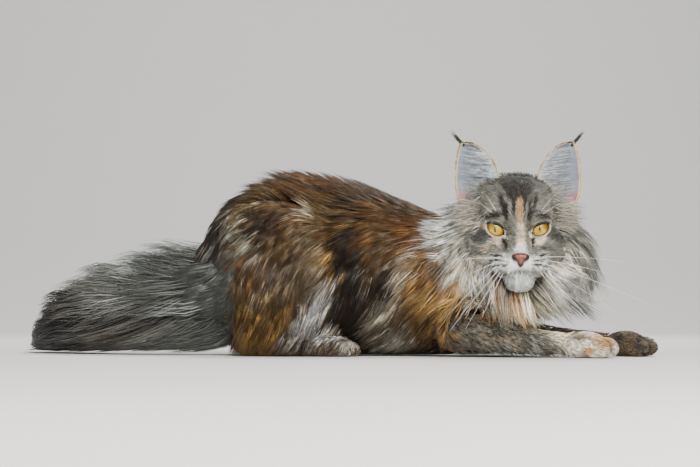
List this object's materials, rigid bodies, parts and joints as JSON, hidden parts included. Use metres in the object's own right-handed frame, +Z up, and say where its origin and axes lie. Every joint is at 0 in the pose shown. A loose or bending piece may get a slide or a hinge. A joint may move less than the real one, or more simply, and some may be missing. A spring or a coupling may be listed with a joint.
{
  "type": "lying long-haired cat",
  "caption": "Life-size Maine Coon cat lying on its chest, forelegs stretched out, head turned to the viewer and plumed tail laid out behind.",
  "frame": {"origin": "middle of the bounding box at floor level", "axes": "+X from the tail to the forepaws, +Z up, -Y towards the viewer on the cat's right side"},
  "size_m": [0.6884, 0.3794, 0.227],
  "materials": {
    "face_fur": "short ticked tabby fur",
    "nose_leather": "moist pebbled skin",
    "eye": "clear wet cornea over a golden iris",
    "ear_fur": "thin skin with sparse pale hair",
    "ruff_fur": "long silver and cream locks",
    "body_fur": "long rust, black and silver locks",
    "leg_fur": "short barred tabby fur",
    "pale_paw_fur": "short white and peach fur",
    "tail_fur": "long smoke-grey locks"
  },
  "bodies": {
    "root": {"head": "face_fur", "nose": "nose_leather", "eye_right": "eye", "eye_left": "eye", "ear_right": "ear_fur", "ear_left": "ear_fur", "neck": "ruff_fur", "torso": "body_fur", "foreleg_right": "leg_fur", "foreleg_left": "leg_fur", "front_paw_right": "pale_paw_fur", "front_paw_left": "leg_fur", "thigh_right": "body_fur", "thigh_left": "body_fur", "hind_foot_right": "leg_fur", "hind_foot_left": "leg_fur", "hind_paw_right": "leg_fur", "hind_paw_left": "leg_fur", "tail_root": "tail_fur", "tail_middle": "tail_fur", "tail_tip": "tail_fur"}
  },
  "joints": []
}
